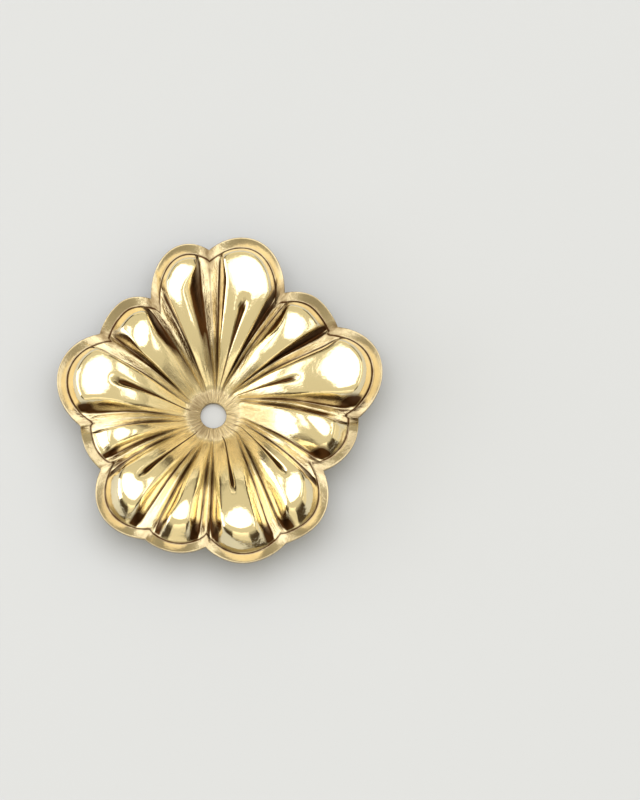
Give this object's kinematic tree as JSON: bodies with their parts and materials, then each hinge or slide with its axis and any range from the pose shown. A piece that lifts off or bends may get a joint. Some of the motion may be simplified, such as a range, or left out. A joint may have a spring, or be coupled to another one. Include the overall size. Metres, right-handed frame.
{
  "type": "earring jacket",
  "caption": "Flower-shaped earring jacket stamped from gold sheet, with domed petals round a hollow centre cone and a hole for a stud earring's post.",
  "frame": {"origin": "on the axis of the post hole, at the back face of the centre cone's flat end", "axes": "+Z out of the flower's face along the post hole, +Y towards the side with the paired large petals, +X to the right when looking at the face"},
  "size_m": [0.0118, 0.0121, 0.0023],
  "materials": {
    "gold": "high polish"
  },
  "bodies": {
    "root": {"flower_jacket": "gold"}
  },
  "joints": []
}
